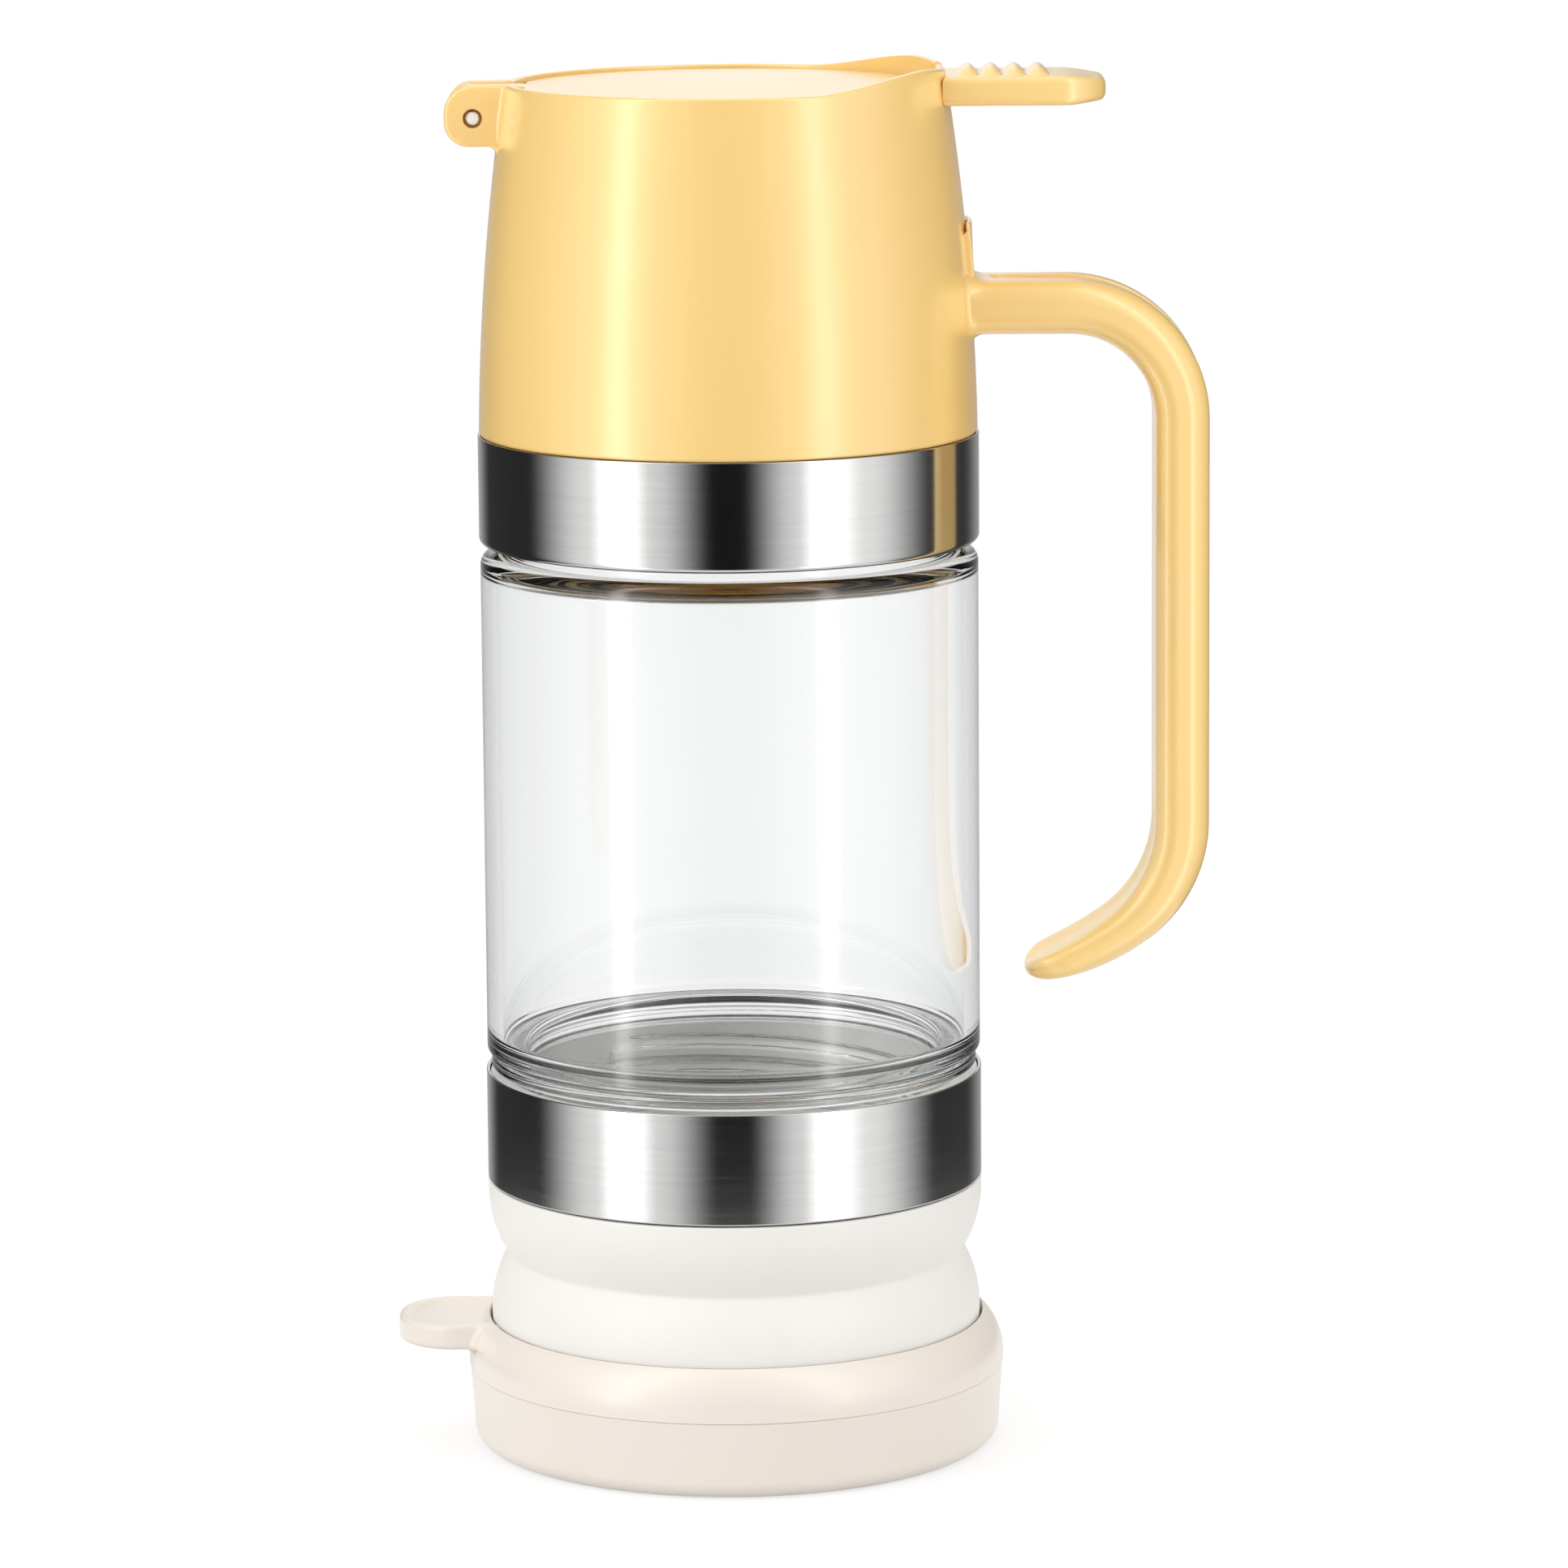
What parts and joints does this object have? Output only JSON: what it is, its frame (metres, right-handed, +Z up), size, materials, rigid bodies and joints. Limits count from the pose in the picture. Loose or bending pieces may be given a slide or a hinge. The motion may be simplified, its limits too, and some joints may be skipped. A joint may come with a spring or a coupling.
{
  "type": "honey dispenser",
  "caption": "Squeeze honey pot: glass jar between threaded ends, hinged lid with thumb tab, hook handle, steel sleeves, soft bellows foot with a slit valve and a pull-off base cap.",
  "frame": {"origin": "middle of the underside of the base cap", "axes": "+Z up through the jar, +X towards the handle, lid hinge at -X"},
  "size_m": [0.1247, 0.0826, 0.2118],
  "materials": {
    "clear_glass": "clear, polished",
    "yellow_plastic": "satin gloss",
    "yellow_thread_ring": "satin gloss",
    "upper_steel": "brushed round the sleeve",
    "lower_steel": "brushed round the sleeve",
    "collar_steel": "turned",
    "soft_silicone": "matt, slightly translucent",
    "seal_silicone": "matt, translucent",
    "valve_silicone": "matt, translucent",
    "inner_plastic": "fine matt",
    "cream_plastic": "satin",
    "pin_steel": "polished ends",
    "screw_steel": "bright zinc"
  },
  "bodies": {
    "stand": {"cap_tray": "cream_plastic", "cap_ring": "cream_plastic", "cap_plug": "seal_silicone"},
    "base_unit": {"lower_collar": "collar_steel", "lower_band": "lower_steel", "clamp_ring": "inner_plastic", "squeeze_bellows": "soft_silicone"},
    "outlet": {"outlet_plate": "inner_plastic", "slit_valve": "valve_silicone", "valve_ring": "inner_plastic"},
    "jar_gasket": {"lower_seal": "seal_silicone"},
    "jar": {"glass_jar": "clear_glass"},
    "head_gasket": {"neck_seal": "seal_silicone"},
    "head": {"neck_ring": "yellow_thread_ring", "upper_band": "upper_steel", "casing": "yellow_plastic", "handle": "yellow_plastic", "handle_screw": "screw_steel", "hinge_pin": "pin_steel"},
    "lid": {"lid": "yellow_plastic", "lid_seal": "seal_silicone"}
  },
  "joints": [
    {"name": "cap_pull", "type": "slide", "parent": "stand", "child": "base_unit", "axis": [0, 0, 1], "range_m": [0, 0.03]},
    {"name": "squeeze", "type": "slide", "parent": "base_unit", "child": "outlet", "axis": [0, 0, 1], "range_m": [0, 0.006], "stiffness_N_per_m": 400, "deforming": ["squeeze_bellows"]},
    {"name": "jar_lift", "type": "slide", "parent": "base_unit", "child": "jar_gasket", "axis": [0, 0, 1], "range_m": [0, 0.016]},
    {"name": "jar_turn", "type": "hinge", "parent": "jar_gasket", "child": "jar", "pos_m": [0, 0, 0.0466], "axis": [0, 0, 1], "range_deg": [0, 720]},
    {"name": "head_lift", "type": "slide", "parent": "jar", "child": "head_gasket", "axis": [0, 0, 1], "range_m": [0, 0.016]},
    {"name": "head_turn", "type": "hinge", "parent": "head_gasket", "child": "head", "pos_m": [0, 0, 0.1529], "axis": [0, 0, 1], "range_deg": [0, 720]},
    {"name": "lid_hinge", "type": "hinge", "parent": "head", "child": "lid", "pos_m": [-0.03785, 0, 0.2044], "axis": [0, -1, 0], "range_deg": [0, 110]}
  ],
  "couplings": [
    {"joint": "jar_lift", "follows": "jar_turn", "m_per_rad": 0.0012732},
    {"joint": "head_lift", "follows": "head_turn", "m_per_rad": 0.0012732}
  ]
}
